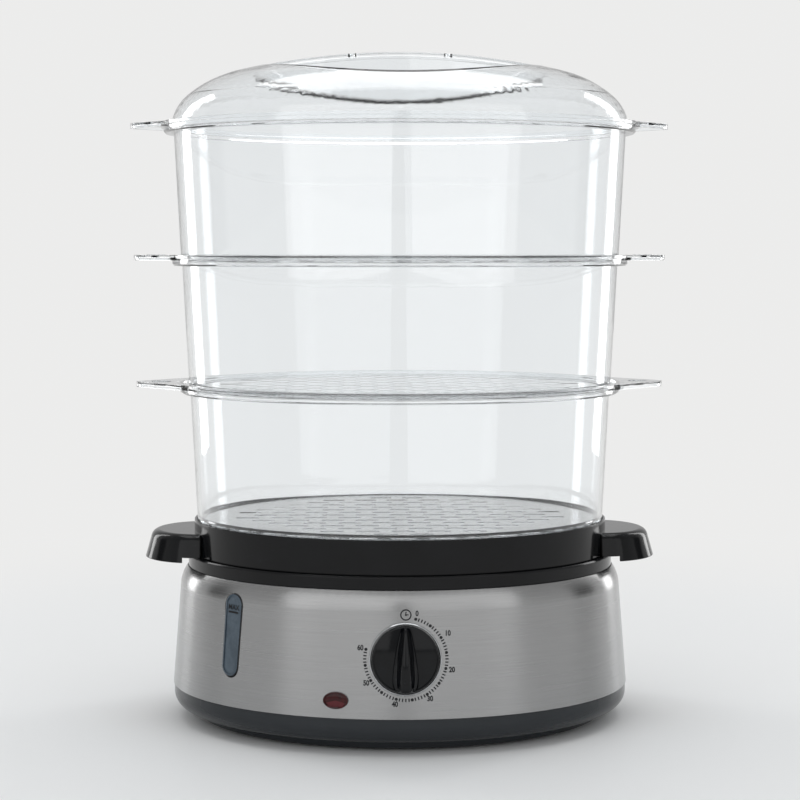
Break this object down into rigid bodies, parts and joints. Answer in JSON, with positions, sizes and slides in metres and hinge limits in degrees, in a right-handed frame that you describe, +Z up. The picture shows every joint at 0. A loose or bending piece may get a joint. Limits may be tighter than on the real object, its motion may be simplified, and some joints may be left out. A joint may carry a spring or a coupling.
{
  "type": "electric food steamer",
  "caption": "Oval electric food steamer with a steel base, turning timer knob, water window, drip tray, stacking clear baskets and a domed clear lid.",
  "frame": {"origin": "middle of the oval footprint, on the plane the rubber feet stand on", "axes": "+Z up, -Y towards the user (timer knob side), +X to the user's right"},
  "size_m": [0.3158, 0.2432, 0.3905],
  "materials": {
    "slate_plastic": "fine satin",
    "foot_rubber": "matte",
    "screw_steel": "zinc plated",
    "black_plastic": "gloss",
    "brushed_steel": "brushed along the band",
    "cast_aluminium": "bead blasted",
    "seal_silicone": "matte",
    "element_sheath": "heat tinted",
    "bare_aluminium": "plain",
    "ring_plastic": "satin",
    "zinc_steel": "zinc plated",
    "bell_steel": "nickel plated",
    "bezel_chrome": "polished",
    "shaft_steel": "turned",
    "red_lens": "gloss",
    "lamp_glass": "clear",
    "window_plastic": "gloss",
    "white_nylon": "satin",
    "screw_brass": "plain",
    "clear_plastic": "clear gloss"
  },
  "bodies": {
    "base": {"bottom_cover": "slate_plastic", "rubber_feet": "foot_rubber", "case_screws": "screw_steel", "housing": "black_plastic", "water_tank": "black_plastic", "steel_band": "brushed_steel", "heater_plate": "cast_aluminium", "heater_seal": "seal_silicone", "heater_screws": "screw_steel", "heating_element": "element_sheath", "thermostat": "bare_aluminium", "thermal_fuse": "bare_aluminium", "timer_plate": "zinc_steel", "timer_can": "zinc_steel", "timer_bell": "bell_steel", "timer_screws": "screw_steel", "dial_bezel": "bezel_chrome", "neon_lens": "red_lens", "neon_lamp": "lamp_glass", "window_lens": "window_plastic", "window_gasket": "seal_silicone", "cord_gland": "slate_plastic", "gland_nut": "slate_plastic", "terminal_block": "white_nylon", "terminal_screws": "screw_brass"},
    "knob": {"knob": "black_plastic", "timer_shaft": "shaft_steel"},
    "steam_ring": {"steam_ring": "ring_plastic"},
    "drip_tray": {"drip_tray": "black_plastic"},
    "basket_1": {"basket_1": "clear_plastic"},
    "basket_2": {"basket_2": "clear_plastic"},
    "basket_3": {"basket_3": "clear_plastic"},
    "lid": {"lid": "clear_plastic"}
  },
  "joints": [
    {"name": "timer_turn", "type": "hinge", "parent": "base", "child": "knob", "pos_m": [0, -0.11248, 0.0536], "axis": [0, 0.9977, -0.0678], "range_deg": [0, 283.5]},
    {"name": "steam_ring_lift", "type": "slide", "parent": "base", "child": "steam_ring", "axis": [0, 0, 1], "range_m": [0, 0.08]},
    {"name": "drip_tray_lift", "type": "slide", "parent": "steam_ring", "child": "drip_tray", "axis": [0, 0, 1], "range_m": [0, 0.06]},
    {"name": "basket_1_lift", "type": "slide", "parent": "drip_tray", "child": "basket_1", "axis": [0, 0, 1], "range_m": [0, 0.06]},
    {"name": "basket_2_lift", "type": "slide", "parent": "basket_1", "child": "basket_2", "axis": [0, 0, 1], "range_m": [0, 0.06]},
    {"name": "basket_3_lift", "type": "slide", "parent": "basket_2", "child": "basket_3", "axis": [0, 0, 1], "range_m": [0, 0.06]},
    {"name": "lid_lift", "type": "slide", "parent": "basket_3", "child": "lid", "axis": [0, 0, 1], "range_m": [0, 0.06]}
  ]
}
